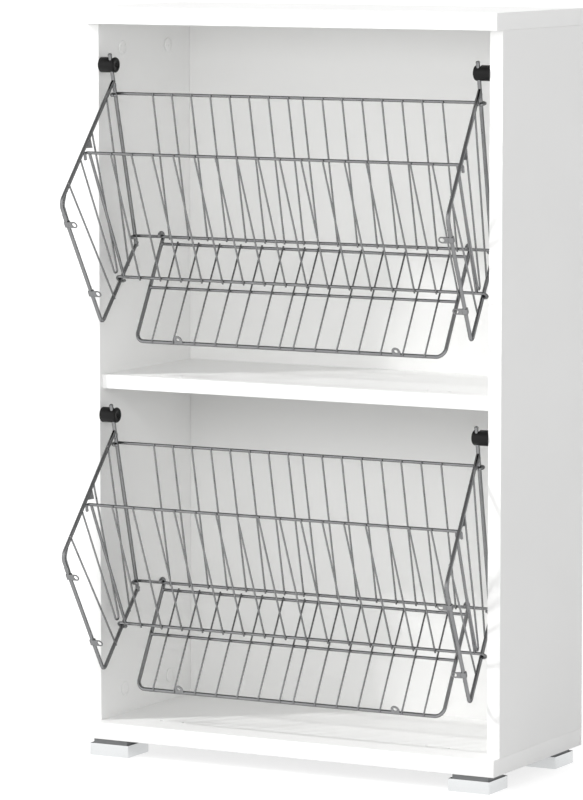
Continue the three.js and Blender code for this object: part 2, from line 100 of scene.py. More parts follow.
# Parts of the side frame; shares run along the wire that is named
SIDE_FILLING = ((0.14, 0.75), (0.85, 0.33))  # shares of TOP to FRONT, and of LOW to REAR
INSIDE = 0.9  # the side frame's filling wires lie this far to the inside of its outline
HAIRPIN = {"rear": 0.42, "front": 0.64, "y": 11, "height": 133.8, "half": 3.5, "bend": 3.2}
GUSSET = {"rear": 0.45, "front": 0.555, "reach": 17}
TAIL = {"bend": 9, "offsets": (1.0, 4.6, 3.2)}
SLEEVE = {"start": 0.09, "end": 0.15, "wall": 0.45}
PLATE = 1.5  # thickness of the gussets and the eyes
LUG_PLACES = (0.83, 0.255)  # as shares of LOW to FRONT
COLLAR = Vector((7.4, 6.5, 9))
EYE = {"radius": 4.5, "reach": 12, "hole_at": 11.6, "hole": 3.1}
TAB = {"radius": 6, "hole_at": 6.5, "hole": 2.4}
LEAN = math.atan2(LOW.x - FRONT.x, FRONT.y - LOW.y)  # of the front wires' plane, from upright

STOP = {"radius": 10, "length": 23, "y": 7, "height": 404.5, "edge": 2.2, "slot": 6, "peg": 2.5}


# ---- Materials ----
def new_material(name):
    material = bpy.data.materials.new(name)
    material.use_nodes = True
    tree = material.node_tree
    return material, tree, tree.nodes["Principled BSDF"]


def set_inputs(shader, **values):
    for name, value in values.items():
        shader.inputs[name.replace("_", " ")].default_value = value


def noise(tree, scale, detail=2.0, roughness=0.5, stretch=(1, 1, 1)):
    """A noise texture on the frame's own coordinates; scale is in ripples per metre."""
    coordinates = tree.nodes.new("ShaderNodeTexCoord")
    mapping = tree.nodes.new("ShaderNodeMapping")
    mapping.inputs["Scale"].default_value = stretch
    tree.links.new(coordinates.outputs["Object"], mapping.inputs["Vector"])
    texture = tree.nodes.new("ShaderNodeTexNoise")
    texture.inputs["Scale"].default_value = scale
    texture.inputs["Detail"].default_value = detail
    texture.inputs["Roughness"].default_value = roughness
    tree.links.new(mapping.outputs["Vector"], texture.inputs["Vector"])
    return texture.outputs["Fac"]


def spread(tree, value, low, high, low_in=0.3, high_in=0.7):
    node = tree.nodes.new("ShaderNodeMapRange")
    node.inputs["From Min"].default_value = low_in
    node.inputs["From Max"].default_value = high_in
    node.inputs["To Min"].default_value = low
    node.inputs["To Max"].default_value = high
    tree.links.new(value, node.inputs["Value"])
    return node.outputs["Result"]


def mix(tree, factor, first, second):
    node = tree.nodes.new("ShaderNodeMix")
    node.data_type = "RGBA"
    node.inputs["A"].default_value = (*first, 1)
    node.inputs["B"].default_value = (*second, 1)
    tree.links.new(factor, node.inputs["Factor"])
    return node.outputs["Result"]


def bump(tree, height, depth, strength=1.0, after=None):
    node = tree.nodes.new("ShaderNodeBump")
    node.inputs["Distance"].default_value = depth
    node.inputs["Strength"].default_value = strength
    tree.links.new(height, node.inputs["Height"])
    if after is not None:
        tree.links.new(after, node.inputs["Normal"])
    return node.outputs["Normal"]


def surface(name, dark, light, patch=4.0, rough=(0.4, 0.5), rough_scale=60.0, grain=None, **values):
    """A material whose colour drifts from dark to light over patches, with an uneven gloss and fine relief.
    grain is (ripples per metre, depth in metres, stretch)."""
    material, tree, shader = new_material(name)
    set_inputs(shader, **values)
    tree.links.new(mix(tree, noise(tree, patch, 3), dark, light), shader.inputs["Base Color"])
    tree.links.new(spread(tree, noise(tree, rough_scale, 4), *rough), shader.inputs["Roughness"])
    if grain:
        scale, depth, stretch = grain
        relief = bump(tree, noise(tree, scale, 3, 0.6, stretch), depth)
        tree.links.new(relief, shader.inputs["Normal"])
    return material


WHITE_BOARD = surface("white_melamine", (0.83, 0.83, 0.822), (0.872, 0.872, 0.866), patch=2.2,
                      rough=(0.42, 0.54), rough_scale=9, grain=(1500, 0.00003, (1, 1, 1)))
EDGE_BAND = surface("white_edge_band", (0.85, 0.85, 0.843), (0.88, 0.88, 0.874), patch=3,
                    rough=(0.36, 0.44), rough_scale=25, grain=(700, 0.00002, (1, 1, 1)))
BACK_BOARD = surface("white_fibreboard", (0.79, 0.79, 0.78), (0.845, 0.845, 0.838), patch=3,
                     rough=(0.5, 0.62), rough_scale=14, grain=(520, 0.00005, (1, 1, 1)))
# The wire's dark colour, and the low specular tint that darkens its edges, are painted shade: they stand in
# for the dim surroundings that the plated wire mirrors
CHROME_WIRE = surface("plated_wire", (0.205, 0.207, 0.21), (0.285, 0.288, 0.292), patch=35,
                      rough=(0.08, 0.18), rough_scale=160, grain=(420, 0.00004, (1, 1, 1)), Metallic=1.0,
                      Specular_Tint=(0.2, 0.2, 0.21, 1.0))
FOOT_CHROME = surface("bright_chrome", (0.66, 0.675, 0.68), (0.74, 0.75, 0.755), patch=18,
                      rough=(0.06, 0.16), rough_scale=45, grain=(260, 0.00002, (1, 1, 1)), Metallic=1.0)
FOOT_PLASTIC = surface("grey_foot_plastic", (0.24, 0.245, 0.25), (0.3, 0.305, 0.31), patch=30,
                       rough=(0.45, 0.6), rough_scale=120, grain=(1800, 0.00006, (1, 1, 1)))
BLACK_PLASTIC = surface("black_stop_plastic", (0.003, 0.003, 0.003), (0.006, 0.006, 0.006), patch=60,
                        rough=(0.3, 0.42), rough_scale=300, grain=(2200, 0.00004, (1, 1, 1)),
                        Specular_IOR_Level=0.22)
CAP_PLASTIC = surface("white_cap_plastic", (0.82, 0.82, 0.812), (0.86, 0.86, 0.853), patch=20,
                      rough=(0.26, 0.36), rough_scale=80, grain=(1100, 0.00002, (1, 1, 1)))
ZINC = surface("cast_zinc", (0.36, 0.365, 0.37), (0.47, 0.475, 0.48), patch=140,
               rough=(0.32, 0.5), rough_scale=400, grain=(1600, 0.00008, (1, 1, 1)), Metallic=1.0)
BEECH = surface("beech_dowel", (0.4, 0.235, 0.115), (0.56, 0.36, 0.2), patch=160,
                rough=(0.55, 0.7), rough_scale=300, grain=(900, 0.0001, (0.12, 1, 1)))


# ---- Meshes ----
def piece(name, bm, place, material, body, nodes=(), angle=38):
    """Turns a bmesh into a named piece that rides on a body and stands for CAD nodes."""
    bm.transform(place)
    if place.determinant() < 0:
        bmesh.ops.reverse_faces(bm, faces=bm.faces[:])
    mesh = bpy.data.meshes.new(name)
    bm.to_mesh(mesh)
    bm.free()
    mesh.materials.append(material)
    mesh.polygons.foreach_set("use_smooth", [True] * len(mesh.polygons))
    mesh.set_sharp_from_angle(angle=math.radians(angle))
    obj = bpy.data.objects.new(name, mesh)
    bpy.context.scene.collection.objects.link(obj)
    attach(obj, body)
    if nodes:
        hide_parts(*nodes)
    return obj


def loft(bm, rings, closed=False):
    """Joins rings of points with faces; a ring of one point closes that end, and so does a flat cap."""
    made = [[bm.verts.new(point) for point in ring] for ring in rings]
    pairs = list(zip(made, made[1:])) + ([(made[-1], made[0])] if closed else [])
    for near, far in pairs:
        count = max(len(near), len(far))
        for i in range(count):
            j = (i + 1) % count
            if len(near) == 1:
                bm.faces.new((near[0], far[j], far[i]))
            elif len(far) == 1:
                bm.faces.new((near[i], near[j], far[0]))
            else:
                bm.faces.new((near[i], near[j], far[j], far[i]))
    if not closed:
        if len(made[0]) > 1:
            bm.faces.new(made[0][::-1])
        if len(made[-1]) > 1:
            bm.faces.new(made[-1])
    return made


def frames_along(points):
    """A tangent and two normals at each point of a path, turned as little as possible along it."""
    last = len(points) - 1
    steps = [(points[i + 1] - points[i]).normalized() for i in range(last)]
    tangents = [(steps[max(i - 1, 0)] + steps[min(i, last - 1)]).normalized() for i in range(last + 1)]
    side = tangents[0].orthogonal().normalized()
    result = []
    for tangent in tangents:
        side = (side - tangent * side.dot(tangent)).normalized()
        result.append((tangent, side, tangent.cross(side)))
    return result


DOME = [(0.0, 1.0), (0.38, 0.93), (0.7, 0.72), (0.92, 0.4), (1.0, 0.0)]  # along and across, as shares


def tube(bm, points, radius, sides=12, tips=(0.55, 0.55)):
    """A round wire through points. tips say how far each cut end is domed, as a share of the radius."""
    points = [Vector(point) for point in points]
    frames = frames_along(points)

    def ring(centre, axes, size):
        if size < 1e-6:
            return [centre]
        _, across, up = axes
        turns = [2 * math.pi * i / sides for i in range(sides)]
        return [centre + (across * math.cos(t) + up * math.sin(t)) * size for t in turns]

    rings = [ring(points[0] - frames[0][0] * (radius * tips[0] * out), frames[0], radius * size)
             for out, size in reversed(DOME[1:])]
    rings += [ring(point, axes, radius) for point, axes in zip(points, frames)]
    rings += [ring(points[-1] + frames[-1][0] * (radius * tips[1] * out), frames[-1], radius * size)
              for out, size in DOME[1:]]
    loft(bm, rings)


def rounded(points, radii, step=9.0):
    """A path through points with each inner corner turned into an arc of the given radius."""
    points = [Vector(point) for point in points]
    path = [points[0]]
    for before, corner, after, radius in zip(points, points[1:], points[2:], radii):
        back = (before - corner).normalized()
        ahead = (after - corner).normalized()
        half = back.angle(ahead) / 2
        centre = corner + (back + ahead).normalized() * (radius / math.sin(half))
        start = corner + back * (radius / math.tan(half)) - centre
        axis = back.cross(ahead).normalized()
        sweep = math.pi - 2 * half
        count = max(2, round(math.degrees(sweep) / step))
        for i in range(count + 1):
            path.append(centre + Matrix.Rotation(-sweep * i / count, 3, axis) @ start)
    return path + [points[-1]]


def blob(bm, centre, size, turn=None):
    """A nugget of weld metal."""
    place = Matrix.Translation(centre) @ (turn or Matrix.Identity(4)) @ Matrix.Diagonal((*size, 1))
    bmesh.ops.create_icosphere(bm, subdivisions=2, radius=1, matrix=place)


def box(bm, low, high, bevel=0.0, segments=2, edges=None):
    """A box with rounded edges; edges(a, b) picks the ones to round by their two ends."""
    size = Vector(high) - Vector(low)
    middle = Matrix.Translation((Vector(high) + Vector(low)) / 2)
    made = bmesh.ops.create_cube(bm, size=1, matrix=middle @ Matrix.Diagonal((*size, 1)))
    if bevel:
        around = {edge for vert in made["verts"] for edge in vert.link_edges}
        chosen = [e for e in around if edges is None or edges(e.verts[0].co, e.verts[1].co)]
        chosen.sort(key=lambda e: e.index)
        bmesh.ops.bevel(bm, geom=chosen, offset=bevel, segments=segments, profile=0.5, affect="EDGES",
                        clamp_overlap=True)


def lathe(bm, profile, sides=48, place=Matrix.Identity(4)):
    """Turns (radius, height) points round the z axis; the profile starts and ends on the axis."""
    rings = []
    for radius, height in profile:
        if radius < 1e-6:
            rings.append([place @ Vector((0, 0, height))])
            continue
        turns = [2 * math.pi * i / sides for i in range(sides)]
        rings.append([place @ Vector((radius * math.cos(t), radius * math.sin(t), height)) for t in turns])
    loft(bm, rings)


def fillet(centre, radius, start, end, steps=4):
    """Points of an arc, as (radius, height) pairs of a profile, from one angle to another in degrees."""
    angles = [math.radians(start + (end - start) * i / steps) for i in range(steps + 1)]
    return [(centre[0] + radius * math.cos(a), centre[1] + radius * math.sin(a)) for a in angles]


def carve(obj, cutters):
    """Cuts closed bmeshes, each given with the matrix that takes it to the frame, out of a piece."""
    for bm, place in cutters:
        bm.transform(place)
        mesh = bpy.data.meshes.new("cutter")
        bm.to_mesh(mesh)
        bm.free()
        cutter = bpy.data.objects.new("cutter", mesh)
        bpy.context.scene.collection.objects.link(cutter)
        modifier = obj.modifiers.new("cut", "BOOLEAN")
        modifier.operation = "DIFFERENCE"
        modifier.solver = "EXACT"
        modifier.object = cutter
        apply_modifiers(obj)
        bpy.data.objects.remove(cutter)
        bpy.data.meshes.remove(mesh)


def apply_modifiers(obj):
    depsgraph = bpy.context.evaluated_depsgraph_get()
    mesh = bpy.data.meshes.new_from_object(obj.evaluated_get(depsgraph))
    old = obj.data
    obj.modifiers.clear()
    obj.data = mesh
    bpy.data.meshes.remove(old)
    mesh.name = obj.name


def smooth_by_angle(obj, angle=38):
    obj.data.polygons.foreach_set("use_smooth", [True] * len(obj.data.polygons))
    obj.data.set_sharp_from_angle(angle=math.radians(angle))


def soften(obj, width, segments=2, angle=40):
    """Rounds the sharp edges of a piece, width in metres."""
    modifier = obj.modifiers.new("edge", "BEVEL")
    modifier.width = width
    modifier.segments = segments
    modifier.limit_method = "ANGLE"
    modifier.angle_limit = math.radians(angle)
    modifier.use_clamp_overlap = True
    apply_modifiers(obj)
    smooth_by_angle(obj, angle)


def bore(start, end, radius, sides=40):
    """A cutter for a round hole, in metres."""
    bm = bmesh.new()
    start, end = Vector(start), Vector(end)
    tube(bm, [start, end], radius, sides, tips=(0, 0))
    bmesh.ops.remove_doubles(bm, verts=bm.verts, dist=1e-7)
    return bm, Matrix.Identity(4)


# ---- Boards ----
BAND = 0.8 * MM  # thickness of the edge banding
EASE = 0.5 * MM  # rounding of the banded edges


def board(name, bands, holes, material=WHITE_BOARD):
    """A board in the box of its CAD node, with the holes that it has there, and a strip of edge banding on
    each side listed in bands: front, rear, left, right."""
    low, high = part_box(name)
    core_low, core_high = low.copy(), high.copy()
    sides = {"front": (1, 0), "rear": (1, 1), "left": (0, 0), "right": (0, 1)}
    for side in bands:
        axis, end = sides[side]
        if end:
            core_high[axis] -= BAND
        else:
            core_low[axis] += BAND
    bm = bmesh.new()
    box(bm, core_low, core_high, 0.12 * MM, 1)
    core = piece(name + "_board", bm, Matrix.Identity(4), material, "carcass", [name])
    if holes:
        carve(core, [bore(*hole) for hole in holes])
        smooth_by_angle(core)
    for side in bands:
        axis, end = sides[side]
        strip_low, strip_high = low.copy(), high.copy()
        if end:
            strip_low[axis] = high[axis] - BAND
        else:
            strip_high[axis] = low[axis] + BAND
        if axis == 0:  # the end strips butt against the front strip
            strip_low.y, strip_high.y = core_low.y, core_high.y
        outer = strip_high[axis] if end else strip_low[axis]
        bm = bmesh.new()
        box(bm, strip_low, strip_high, EASE, 3,
            lambda a, b: abs(a[axis] - outer) < 1e-7 and abs(b[axis] - outer) < 1e-7)
        piece(f"{name}_band_{side}", bm, Matrix.Identity(4), EDGE_BAND, "carcass")
    return core


def middle(node):
    low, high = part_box(node)
    return (low + high) / 2


def radius_of(node, axis):
    low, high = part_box(node)
    return (high[axis] - low[axis]) / 2


CLEAR = GAP * MM
CAM_NODES = [f"{s}_{e}_{p}" for s in SIDES for e in ("top", "bottom") for p in PLACES]
DOWEL_NODES = [f"{s}_{p}" for s in SIDES for p in PLACES]
CAM_RADIUS = radius_of("cam_lock_left_top_front", 1)
BOLT_RADIUS = radius_of("cam_bolt_left_top_front", 1)
DOWEL_RADIUS = radius_of("shelf_dowel_left_front", 1)


def bolt_holes(end):
    holes = []
    for name in CAM_NODES:
        if f"_{end}_" not in name:
            continue
        low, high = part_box("cam_bolt_" + name)
        at = middle("cam_bolt_" + name)
        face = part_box(f"{end}_panel")[0 if end == "top" else 1].z
        deep = high.z + CLEAR if end == "top" else low.z - CLEAR
        out = face + (-CLEAR if end == "top" else CLEAR)
        holes.append(((at.x, at.y, out), (at.x, at.y, deep), BOLT_RADIUS + CLEAR))
    return holes


# Pilot holes for the hinge plates: two on each side, 32 mm apart, either side of the hinge seats
HINGE_SEAT = {"x": 195, "y": 35, "half_pitch": 16}
HINGE_HOLES = [(side * HINGE_SEAT["x"] + offset, HINGE_SEAT["y"])
               for side in (-1, 1) for offset in (-HINGE_SEAT["half_pitch"], HINGE_SEAT["half_pitch"])]
PILOT = {"radius": 2.5, "depth": 10}


def pilot_holes(surface_z):
    holes = []
    for x, y in HINGE_HOLES:
        at = (x * MM, FRONT_Y + y * MM)
        deep = surface_z - PILOT["depth"] * MM
        holes.append(((*at, surface_z + 0.5 * MM), (*at, deep), PILOT["radius"] * MM))
    return holes


def side_holes(side_name):
    side = SIDES[side_name]
    face = side * INNER_HALF * MM
    holes = []
    for name in CAM_NODES:
        if not name.startswith(side_name):
            continue
        low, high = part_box("cam_lock_" + name)
        at = middle("cam_lock_" + name)
        deep = (high.x + CLEAR) if side > 0 else (low.x - CLEAR)
        holes.append(((face - side * CLEAR, at.y, at.z), (deep, at.y, at.z), CAM_RADIUS + CLEAR))
        bolt = middle("cam_bolt_" + name)
        end = "top" if "_top_" in name else "bottom"
        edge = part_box("side_panel_left")[1 if end == "top" else 0].z
        out = edge + (CLEAR if end == "top" else -CLEAR)
        holes.append(((bolt.x, bolt.y, out), (bolt.x, bolt.y, at.z), BOLT_RADIUS + CLEAR))
    for name in DOWEL_NODES:
        if not name.startswith(side_name):
            continue
        low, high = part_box("shelf_dowel_" + name)
        at = middle("shelf_dowel_" + name)
        deep = (high.x + CLEAR) if side > 0 else (low.x - CLEAR)
        holes.append(((face - side * CLEAR, at.y, at.z), (deep, at.y, at.z), DOWEL_RADIUS + CLEAR))
    for level in LEVELS:
        y = FRONT_Y + STOP["y"] * MM
        z = FLOORS[level] + STOP["height"] * MM
        holes.append(((face - side * CLEAR, y, z), (face + side * 11.3 * MM, y, z), 2.8 * MM))
    return holes


def shelf_holes():
    holes = pilot_holes(FLOORS["upper"])
    for name in DOWEL_NODES:
        side = SIDES[name.split("_")[0]]
        low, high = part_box("shelf_dowel_" + name)
        at = middle("shelf_dowel_" + name)
        deep = (low.x - CLEAR) if side > 0 else (high.x + CLEAR)
        edge = side * (INNER_HALF + 1) * MM
        holes.append(((edge, at.y, at.z), (deep, at.y, at.z), DOWEL_RADIUS + CLEAR))
    return holes


def make_boards():
    groove_low, groove_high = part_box("back_panel")
    groove = (groove_low - Vector((CLEAR,) * 3), groove_high + Vector((CLEAR,) * 3))
    cores = [
        board("top_panel", ("front", "left", "right"), bolt_holes("top")),
        board("bottom_panel", ("front", "left", "right"),
              bolt_holes("bottom") + pilot_holes(FLOORS["lower"])),
        board("side_panel_left", ("front",), side_holes("left")),
        board("side_panel_right", ("front",), side_holes("right")),
    ]
    for core in cores:
        bm = bmesh.new()
        box(bm, *groove)
        carve(core, [(bm, Matrix.Identity(4))])
        smooth_by_angle(core)
    board("middle_shelf", ("front",), shelf_holes())
    bm = bmesh.new()
    box(bm, *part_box("back_panel"), 0.2 * MM, 1)
    piece("back_sheet", bm, Matrix.Identity(4), BACK_BOARD, "carcass", ["back_panel"])


# ---- Fittings ----
def towards(axis_x):
    """Turns the z axis to point along +x or -x."""
    return Matrix.Rotation(math.radians(90) * axis_x, 4, "Y")


def make_cam(name):
    side = SIDES[name.split("_")[0]]
    node = "cam_lock_" + name
    low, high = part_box(node)
    face = low.x if side > 0 else high.x
    depth = (high.x - low.x) / MM
    at = middle(node)
    place = Matrix.Translation((face, at.y, at.z)) @ towards(side) @ Matrix.Scale(MM, 4)
    radius = CAM_RADIUS / MM
    bm = bmesh.new()
    lathe(bm, [(0, 0), *fillet((radius - 0.5, 0.5), 0.5, -90, 0, 3), (radius, 3.2), (radius - 0.5, 3.6),
               (radius - 0.5, depth - 3.4), (radius, depth - 3),
               *fillet((radius - 0.5, depth - 0.5), 0.5, 0, 90, 3), (0, depth)], 40)
    cam = piece("cam_" + name, bm, place, ZINC, "carcass", [node])
    cutters = []
    for turn in (0, 90):
        bm = bmesh.new()
        box(bm, (-4.6, -0.9, -1), (4.6, 0.9, 2.2))
        cutters.append((bm, place @ Matrix.Rotation(math.radians(45 + turn), 4, "Z")))
    carve(cam, cutters)
    smooth_by_angle(cam)


def make_cap(name):
    side = SIDES[name.split("_")[0]]
    node = "cam_cap_" + name
    low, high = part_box(node)
    face = high.x if side > 0 else low.x
    at = middle(node)
    radius = radius_of(node, 1) / MM
    thick = (high.x - low.x) / MM
    place = Matrix.Translation((face, at.y, at.z)) @ towards(-side) @ Matrix.Scale(MM, 4)
    bm = bmesh.new()
    lathe(bm, [(0, 0), (radius - 0.15, 0), (radius, 0.15),
               *fillet((radius - 0.8, thick - 0.85), 0.8, 0, 70, 5),
               (radius * 0.6, thick - 0.02), (0, thick)], 56)
    piece("cap_" + name, bm, place, CAP_PLASTIC, "carcass", [node])


def make_bolt(name):
    node = "cam_bolt_" + name
    low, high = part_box(node)
    at = middle(node)
    length = (high.z - low.z) / MM
    up = "_top_" in name
    start = Vector((at.x, at.y, high.z if up else low.z))
    place = Matrix.Translation(start) @ Matrix.Rotation(math.pi if up else 0, 4, "X") @ Matrix.Scale(MM, 4)
    thread = []
    for i in range(7):
        z = 1.2 + i * 1.35
        thread += [(2.5, z), (3.45, z + 0.45), (3.45, z + 0.6), (2.5, z + 1.05)]
    bm = bmesh.new()
    lathe(bm, [(0, 0), (1.6, 0.1), *thread, (2.9, 10.9), (3.5, 11.2), (3.5, 12.6), (2.4, 13.0),
               (2.4, length - 6.4), (1.6, length - 5.6), (1.6, length - 3.6), (3.0, length - 2.4),
               *fillet((2.0, length - 1.0), 1.0, 0, 90, 4), (0, length)], 28)
    piece("bolt_" + name, bm, place, ZINC, "carcass", [node])


def make_dowel(name):
    node = "shelf_dowel_" + name
    low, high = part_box(node)
    at = middle(node)
    half = (high.x - low.x) / 2 / MM
    radius = DOWEL_RADIUS / MM
    flutes = 18

    def ring(x, size):
        points = []
        for i in range(flutes * 4):
            dip = 0.22 * size * max(0.0, math.cos(math.pi * i / 2)) if i % 4 == 0 else 0.0
            turn = 2 * math.pi * i / (flutes * 4)
            points.append(Vector((x, (size - dip) * math.cos(turn), (size - dip) * math.sin(turn))))
        return points

    bm = bmesh.new()
    loft(bm, [ring(-half, radius - 0.9), ring(-half + 1.1, radius), ring(half - 1.1, radius),
              ring(half, radius - 0.9)])
    place = Matrix.Translation(at) @ Matrix.Scale(MM, 4)
    piece("dowel_" + name, bm, place, BEECH, "carcass", [node], angle=25)


# ---- Feet ----
def make_foot(name):
    low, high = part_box("foot_shell_" + name)
    wall = 2.5 * MM
    bm = bmesh.new()
    box(bm, low, high)
    top = max(bm.faces, key=lambda f: f.calc_center_median().z)
    bmesh.ops.inset_region(bm, faces=[top], thickness=wall)
    bmesh.ops.translate(bm, verts=top.verts, vec=(0, 0, wall - (high.z - low.z)))
    shell = piece("foot_cover_" + name, bm, Matrix.Identity(4), FOOT_CHROME, "carcass",
                  ["foot_shell_" + name])
    soften(shell, 0.55 * MM, 3)
    low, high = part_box("foot_block_" + name)
    bm = bmesh.new()
    box(bm, low, high)
    block = piece("foot_body_" + name, bm, Matrix.Identity(4), FOOT_PLASTIC, "carcass",
                  ["foot_block_" + name])
    soften(block, 0.4 * MM, 2)


# ---- Stops ----
def side_half(y):
    """Half the distance between the side frames at the depth y."""
    return FRAME_HALF - math.sin(TOE_IN) * y


def on_wire(start, end, height):
    """The point at a height on a straight wire of the side frame."""
    return start.lerp(end, (height - start.y) / (end.y - start.y))


def make_stop(level, side_name):
    """A roll that plugs into the side panel, with a slot open to the rear that holds the basket's stem."""
    side = SIDES[side_name]
    node = f"stop_{level}_{side_name}"
    radius, length, edge = STOP["radius"], STOP["length"], STOP["edge"]
    centre = (side * (INNER_HALF - GAP), STOP["y"], STOP["height"])
    place = at_level(level) @ Matrix.Translation(centre) @ towards(-side)
    bm = bmesh.new()
    peg = STOP["peg"]
    lathe(bm, [(0, -10.6), *fillet((peg - 0.6, -10), 0.6, -90, 0, 3), (peg, 0), (radius - 0.6, 0),
               *fillet((radius - 0.6, 0.6), 0.6, -90, 0, 3), (radius, length - edge - GAP),
               *fillet((radius - edge, length - edge - GAP), edge, 0, 90, 6),
               (5.4, length - GAP), (5.0, length - 0.7), (3.4, length - 0.9), (2.9, length - 1.0),
               (2.5, length - 2.0), (1.6, length - 2.4), (0.9, length - 1.6), (0, length - 1.3)], 56)
    roll = piece(f"roll_{level}_{side_name}", bm, place, BLACK_PLASTIC, "carcass", [node])
    # the slot leans with the stem, which lies against its front
    stem = on_wire(TOP, REAR, STOP["height"])
    slope = (TOP - REAR).normalized()
    half = STOP["slot"] / 2
    bm = bmesh.new()
    box(bm, (-half, -STOUT - GAP, -3 * radius), (half, 3 * radius, 3 * radius))
    lean = (at_level(level) @ Matrix.Translation(in_plane(stem, side * side_half(stem.x)))
            @ Matrix.Rotation(math.atan2(-slope.x, slope.y), 4, "X"))
    carve(roll, [(bm, lean)])
    soften(roll, 0.35 * MM, 2, 50)


# ---- Baskets ----
def in_plane(point, x=0.0):
    return Vector((x, point.x, point.y))


def welded(bm, start, end, off, radius=THIN, sides=10, over=WELD_OVERSHOOT):
    """A filling wire between two wires, on the side that off points to, with a weld at each end."""
    start, end, off = Vector(start), Vector(end), Vector(off)
    along = (end - start).normalized()
    tube(bm, [start + off - along * over, end + off + along * over], radius, sides)
    for spot in (start, end):
        blob(bm, spot + off * 0.62, Vector((1.25, 1.25, 1.25)) * radius)


def lug(bm, share):
    """A crimped collar on the front wire, with a flat eye that points to the middle."""
    at = LOW.lerp(FRONT, share)
    place = Matrix.Translation(in_plane(at)) @ Matrix.Rotation(LEAN, 4, "X")
    start = bmesh.new()
    box(start, -COLLAR / 2, COLLAR / 2, 1.6, 4)
    start.transform(place)
    join(bm, start)
    eye = bmesh.new()
    count = 14
    radius = EYE["radius"]
    angles = [math.pi * (i / count - 0.5) for i in range(count + 1)]
    arc = [Vector((EYE["reach"] + radius * math.cos(a), 0, radius * math.sin(a))) for a in angles]
    outer = [Vector((0, 0, -radius)), *arc, Vector((0, 0, radius))]
    plate(eye, outer, Vector((EYE["hole_at"], 0, 0)), EYE["hole"], PLATE)
    eye.transform(place @ Matrix.Translation((0, -STOUT + PLATE / 2, 0)))
    join(bm, eye)


def plate(bm, outline, hole_centre, hole_radius, thickness, ease=0.3):
    """A flat plate in the xz plane with a round hole, its rims eased."""
    total = 32
    # both rims get the same number of points, so that the plate is one band of faces
    around = resample(outline, total)
    start = around[0] - hole_centre
    base = math.atan2(start.z, start.x)
    hole = [hole_centre + Vector((math.cos(base + 2 * math.pi * i / total), 0,
                                  math.sin(base + 2 * math.pi * i / total))) * hole_radius
            for i in range(total)]
    middle_point = sum(around, Vector()) / total
    half = thickness / 2

    def shifted(points, y, inward, centre):
        return [p + Vector((0, y, 0)) + (centre - p).normalized() * inward for p in points]

    rings = [
        shifted(around, -half, ease, middle_point), shifted(around, -half + ease, 0, middle_point),
        shifted(around, half - ease, 0, middle_point), shifted(around, half, ease, middle_point),
        shifted(hole, half, -ease, hole_centre), shifted(hole, half - ease, 0, hole_centre),
        shifted(hole, -half + ease, 0, hole_centre), shifted(hole, -half, -ease, hole_centre),
    ]
    loft(bm, rings, closed=True)
    bmesh.ops.recalc_face_normals(bm, faces=bm.faces)


def resample(outline, total):
    """The closed outline as that many points, evenly spaced along it."""
    ring = outline + [outline[0]]
    lengths = [(b - a).length for a, b in zip(ring, ring[1:])]
    whole = sum(lengths)
    points = []
    for i in range(total):
        distance = whole * i / total
        for a, b, length in zip(ring, ring[1:], lengths):
            if distance <= length:
                points.append(a.lerp(b, distance / length))
                break
            distance -= length
    return points


def join(bm, other):
    mesh = bpy.data.meshes.new("part")
    other.to_mesh(mesh)
    other.free()
    bm.from_mesh(mesh)
    bpy.data.meshes.remove(mesh)


